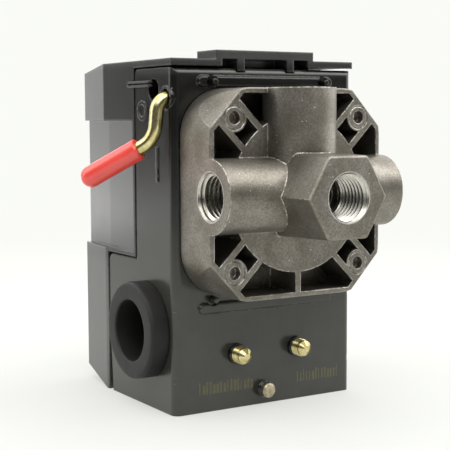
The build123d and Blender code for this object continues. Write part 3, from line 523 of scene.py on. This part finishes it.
def screw_thread(name, at, root, crest, y_from, y_to, material):
    """A thread's ridge wound round a screw that stands out of the front wall."""
    steps = 40
    ridge = ((0.0, 0.0), (0.38, 1.0), (0.52, 1.0), (0.90, 0.0))
    inner = root - 0.04
    total = int(((y_to - y_from) / SCREW_PITCH - 1) * steps)
    points = []
    for k in range(total + 1):
        grow = min(1.0, k / (steps * 0.5), (total - k) / (steps * 0.5))
        for along, rise in ridge:
            y = y_from + SCREW_PITCH * (k / steps + along)
            reach = inner + (crest - inner) * rise * grow
            points.append((Vector((at[0], y, at[1])) + spoke(k / steps) * reach) * MM)
    return add_piece(name, points, grid_faces(total + 1, len(ridge)), material, sharp_deg=25)


ring = rounded(
    [(RING_BACK, RING_IN), (RING_FRONT, RING_IN), (RING_FRONT, RING_OUT), (RING_BACK, RING_OUT),
     (RING_BACK, RING_IN)],
    (0.2, 0.45, 0), 4,
)
for side, x in zip(("left", "right"), FIXING_X):
    screw_thread(f"block_screw_thread_{side}", (x, FIXING_Z), 2.35, 2.62, -4.8, 0.2, yellow_zinc)
    lathe(f"block_screw_ring_{side}", ring, (x, 0, FIXING_Z), (0, 1, 0), black_steel,
          steps=48)
screw_thread("ground_screw_thread", GROUND_AT, 2.2, 2.5, -2.9, 0.3, black_steel)

# ---------------------------------------------------------------- printed marks
ink = finish("ink", rgb(80, 79, 56), rgb(98, 97, 70), (0.5, 0.6), patch=1.0, grain=0.15,
             grain_depth=0.005, soften=0.0)
INK_BACK, INK_FRONT = 0.01, -0.02
BOX_FACES = ((0, 1, 2, 3), (0, 4, 5, 1), (1, 5, 6, 2), (2, 6, 7, 3), (3, 7, 4, 0), (7, 6, 5, 4))


def ink_row(name, x_from, x_to, z_low, height, count, seed):
    """A row of plain printed bars, thin enough to lie on the paint."""
    pick = random.Random(seed)
    points, faces = [], []
    step = (x_to - x_from) / count
    for k in range(count):
        x = x_from + step * (k + 0.15)
        wide = step * pick.choice((0.35, 0.55, 0.7))
        tall = height * pick.choice((0.75, 0.9, 1.0))
        for face in BOX_FACES:
            faces.append(tuple(len(points) + index for index in face))
        for y in (INK_FRONT, INK_BACK):
            for dx, dz in ((0, 0), (wide, 0), (wide, tall), (0, tall)):
                points.append(Vector((x + dx, y, z_low + dz)) * MM)
    return add_piece(name, points, faces, ink, smooth=False)


ink_row("print_left", -23.6, -4.6, 5.2, 3.6, 16, 3)
ink_row("print_right", 11.0, 27.0, 5.0, 3.6, 14, 8)

# ---------------------------------------------------------------- floor and light
FLOOR_NEAR, FLOOR_FAR, FLOOR_LEVEL = 0.55, 8.0, -0.0001
FADE_FROM, FADE_TO = 0.14, 0.53
BACKDROP = rgb(250, 251, 246)
LAMP_TINT = (1.0, 0.995, 0.975, 1)
AMBIENT = 0.07
# Each row: direction, cosines of the angles where the lamp fades in and is full, strength.
LAMPS = (
    ((0.35, 0.93, 0.15), 0.70, 0.86, 1.6),
    ((0.0, 0.0, 1.0), 0.40, 0.75, 1.9),
    ((-0.76, 0.55, 0.36), 0.88, 0.965, 2.3),
    ((0.52, -0.45, 0.73), 0.91, 0.97, 2.0),
    ((-0.25, -0.60, 0.76), 0.88, 0.97, 1.6),
    ((0.95, -0.10, 0.30), 0.80, 0.94, 1.6),
)


def floor_ring(name, radii, far):
    """A flat ring of pale floor. The far one is only seen, and gives no light."""
    f = Finish(name)
    distance = f.add("ShaderNodeVectorMath")
    distance.operation = "LENGTH"
    f.put(distance.inputs[0], f.place)
    away = f.ramp(distance.outputs["Value"], FADE_FROM, FADE_TO)
    paper = f.mix(f.noise(40, 2.0), rgb(143, 144, 142), rgb(148, 149, 147))
    f.put(f.shader.inputs["Base Color"], f.mix(away, paper, rgb(0, 0, 0)))
    f.put(f.shader.inputs["Roughness"], f.scale(f.noise(25, 3.0), 0.55, 0.7))
    f.put(f.shader.inputs["Specular IOR Level"], 0.0)
    f.put(f.shader.inputs["Emission Color"], BACKDROP)
    f.put(f.shader.inputs["Emission Strength"], f.scale(away, 0.5, 1.0))
    steps = 96
    flat = (Vector((1, 0, 0)), Vector((0, 1, 0)))
    rise = Vector((0, 0, FLOOR_LEVEL))
    points = [spoke(k / steps, *flat) * radius + rise for radius in radii for k in range(steps)]
    faces = grid_faces(len(radii), steps, close_columns=True)
    if not far:
        faces.append(tuple(range(steps)))
    mesh = bpy.data.meshes.new(name)
    mesh.from_pydata(points, [], faces)
    mesh.materials.append(f.material)
    floor = bpy.data.objects.new(name, mesh)
    scene.collection.objects.link(floor)
    if far:
        floor.visible_glossy = floor.visible_diffuse = floor.visible_shadow = False


class Sky(Tree):
    """The studio round the object: a strength for each direction."""

    def __init__(self):
        self.world = bpy.data.worlds.new("studio")
        self.world.use_nodes = True
        super().__init__(self.world.node_tree)
        self.way = self.add("ShaderNodeTexCoord").outputs["Generated"]

    def patch(self, towards, low, high, amount):
        """amount within a cone round a direction, fading to 0 outside it."""
        return self.ramp(self.dot(self.way, Vector(towards).normalized()), low, high, 0.0, amount)

    def table(self, top, bottom, amount):
        """amount low down, as a white table gives, fading to 0 just under the horizon."""
        parts = self.add("ShaderNodeSeparateXYZ")
        self.put(parts.inputs[0], self.way)
        return self.ramp(parts.outputs["Z"], bottom, top, amount, 0.0)

    def finish(self, strength):
        """The backdrop's colour to the eye, and this strength as light."""
        seen = self.add("ShaderNodeBackground")
        self.put(seen.inputs["Color"], BACKDROP)
        given = self.add("ShaderNodeBackground")
        self.put(given.inputs["Color"], LAMP_TINT)
        self.put(given.inputs["Strength"], strength)
        blend = self.add("ShaderNodeMixShader")
        self.put(blend.inputs[0], self.add("ShaderNodeLightPath").outputs["Is Camera Ray"])
        self.put(blend.inputs[1], given.outputs[0])
        self.put(blend.inputs[2], seen.outputs[0])
        self.put(self.add("ShaderNodeOutputWorld").inputs[0], blend.outputs[0])
        scene.world = self.world


floor_ring("floor_near", (0.08, 0.2, FLOOR_NEAR), False)
floor_ring("floor_far", (FLOOR_NEAR, 2.0, FLOOR_FAR), True)
sky = Sky()
bend_shade = sky.calc("SUBTRACT", 1.0, sky.patch((-0.85, -0.50, 0.0), 0.36, 0.80, 0.97))
light = sky.calc("ADD", AMBIENT, sky.calc("MULTIPLY", sky.table(-0.02, -0.14, 2.3), bend_shade))
for lamp in LAMPS:
    light = sky.calc("ADD", light, sky.patch(*lamp))
sky.finish(light)
